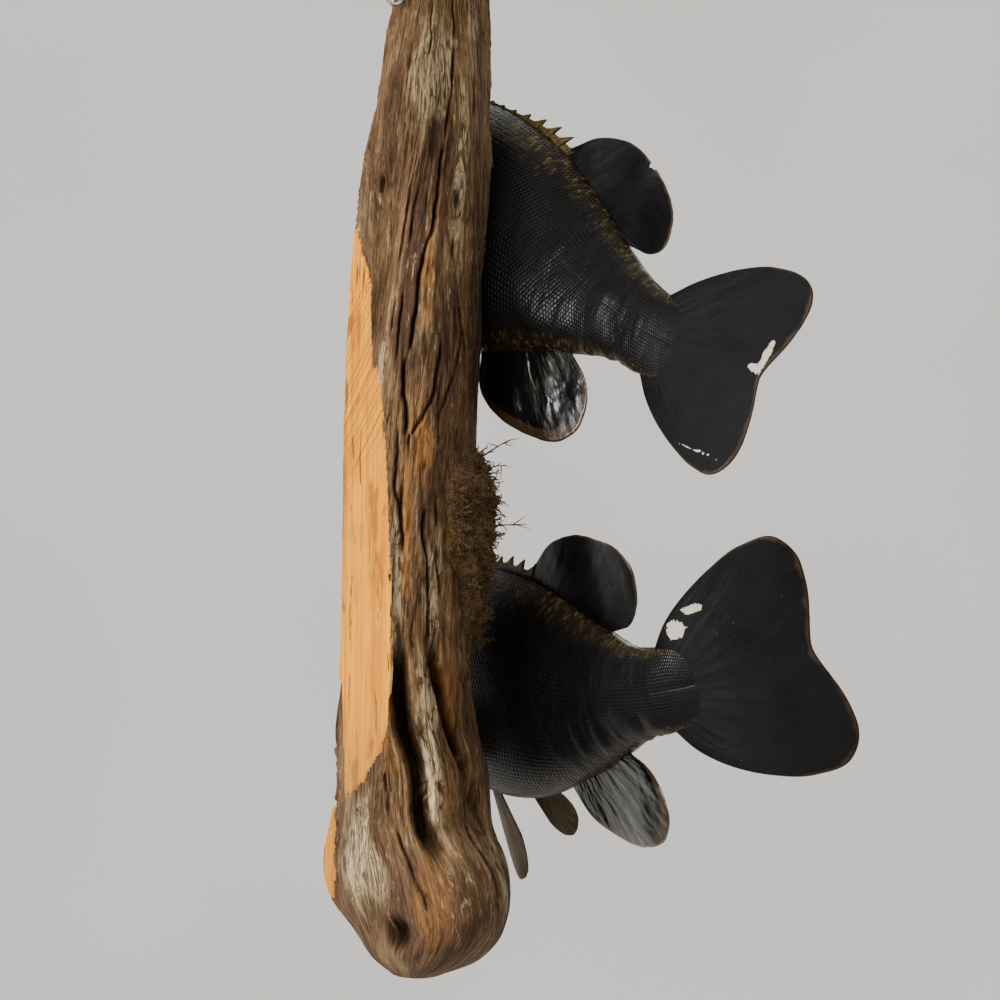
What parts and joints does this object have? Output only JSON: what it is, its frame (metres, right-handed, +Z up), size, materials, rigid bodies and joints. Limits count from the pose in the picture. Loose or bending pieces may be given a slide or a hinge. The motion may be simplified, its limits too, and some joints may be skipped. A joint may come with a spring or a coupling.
{
  "type": "mounted trophy fish",
  "caption": "Mounted smallmouth bass swimming up across an upright piece of driftwood with moss, its back sawn flat to hang on a wall.",
  "frame": {"origin": "a point of the driftwood's sawn wall face, on its middle line and just above the moss", "axes": "+Z up, +Y straight into the wall, +X the way the fish swim"},
  "size_m": [0.501, 0.2087, 0.561],
  "materials": {
    "skin": "lacquered fish skin, bronze on the show side and black towards the wall",
    "fin": "lacquered brown fin",
    "eye": "glossy glass eye",
    "wood": "weathered driftwood, sawn face towards the wall",
    "moss": "dried moss",
    "steel": "plain steel wire"
  },
  "bodies": {
    "root": {"bass_anal_fin": "fin", "bass_dorsal_fin_soft": "fin", "bass_dorsal_fin_spiny": "fin", "bass_eye_left": "eye", "bass_eye_right": "eye", "bass_head": "skin", "bass_lower_jaw": "skin", "bass_pectoral_fin_left": "fin", "bass_pectoral_fin_right": "fin", "bass_pelvic_fin_left": "fin", "bass_pelvic_fin_right": "fin", "bass_tail_fin": "fin", "bass_tail_stalk": "skin", "bass_trunk": "skin", "driftwood": "wood", "moss": "moss", "screw_eye": "steel", "second_bass": "skin"}
  },
  "joints": []
}
